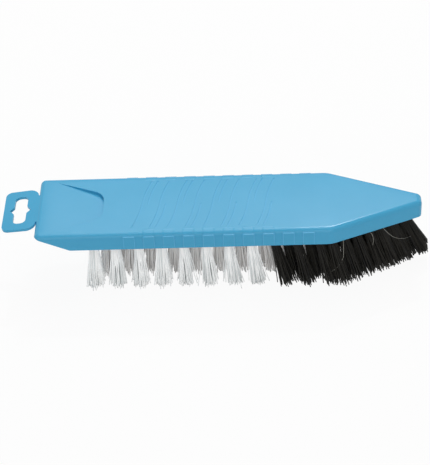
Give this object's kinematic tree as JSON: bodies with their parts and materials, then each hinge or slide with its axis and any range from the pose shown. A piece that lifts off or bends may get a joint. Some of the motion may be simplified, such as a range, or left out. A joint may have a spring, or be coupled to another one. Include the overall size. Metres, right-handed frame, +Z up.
{
  "type": "grout brush",
  "caption": "Hand-held grout and tile brush: a long flat moulded block with a pointed nose, side grips, thumb rest and hang tab, set with white tufts and stiff dark nose tufts.",
  "frame": {"origin": "centre of the overall box at its base, on the plane that the black bristle tips stand on", "axes": "+X along the brush from the hang tab to the pointed nose, +Y across the brush, +Z up from the bristle tips to the block's top face"},
  "size_m": [0.256, 0.0568, 0.047],
  "materials": {
    "block_plastic": "smooth glossy sky-blue injection-moulded polypropylene",
    "white_bristle": "bright white extruded bristle filament, slightly translucent",
    "black_bristle": "stiffer black extruded bristle filament with a dull sheen",
    "anchor_wire": "flat drawn anchor wire, plain"
  },
  "bodies": {
    "root": {"brush_block": "block_plastic", "tuft_anchors": "anchor_wire", "white_tuft_near_outer_1": "white_bristle", "white_tuft_near_outer_2": "white_bristle", "white_tuft_near_outer_3": "white_bristle", "white_tuft_near_outer_4": "white_bristle", "white_tuft_near_outer_5": "white_bristle", "white_tuft_near_outer_6": "white_bristle", "white_tuft_near_outer_7": "white_bristle", "white_tuft_near_outer_8": "white_bristle", "white_tuft_far_outer_1": "white_bristle", "white_tuft_far_outer_2": "white_bristle", "white_tuft_far_outer_3": "white_bristle", "white_tuft_far_outer_4": "white_bristle", "white_tuft_far_outer_5": "white_bristle", "white_tuft_far_outer_6": "white_bristle", "white_tuft_far_outer_7": "white_bristle", "white_tuft_far_outer_8": "white_bristle", "white_tufts_inner_1": "white_bristle", "white_tufts_inner_2": "white_bristle", "white_tufts_inner_3": "white_bristle", "white_tufts_inner_4": "white_bristle", "white_tufts_inner_5": "white_bristle", "white_tufts_inner_6": "white_bristle", "white_tufts_inner_7": "white_bristle", "white_tufts_inner_8": "white_bristle", "white_tufts_inner_9": "white_bristle", "white_tufts_inner_10": "white_bristle", "white_tufts_inner_11": "white_bristle", "black_tuft_near_outer_9": "black_bristle", "black_tuft_near_outer_10": "black_bristle", "black_tuft_near_outer_11": "black_bristle", "black_tuft_far_outer_9": "black_bristle", "black_tuft_far_outer_10": "black_bristle", "black_tuft_far_outer_11": "black_bristle", "black_tuft_near_second_1": "black_bristle", "black_tuft_near_second_2": "black_bristle", "black_tuft_near_second_3": "black_bristle", "black_tuft_near_second_4": "black_bristle", "black_tuft_near_second_5": "black_bristle", "black_tuft_far_second_1": "black_bristle", "black_tuft_far_second_2": "black_bristle", "black_tuft_far_second_3": "black_bristle", "black_tuft_far_second_4": "black_bristle", "black_tuft_far_second_5": "black_bristle", "black_tuft_near_nose_1": "black_bristle", "black_tuft_near_nose_2": "black_bristle", "black_tuft_near_nose_3": "black_bristle", "black_tuft_near_nose_4": "black_bristle", "black_tuft_near_nose_5": "black_bristle", "black_tuft_near_nose_6": "black_bristle", "black_tuft_far_nose_1": "black_bristle", "black_tuft_far_nose_2": "black_bristle", "black_tuft_far_nose_3": "black_bristle", "black_tuft_far_nose_4": "black_bristle", "black_tuft_far_nose_5": "black_bristle", "black_tuft_far_nose_6": "black_bristle", "black_tufts_middle": "black_bristle", "black_tuft_tip": "black_bristle"}
  },
  "joints": []
}
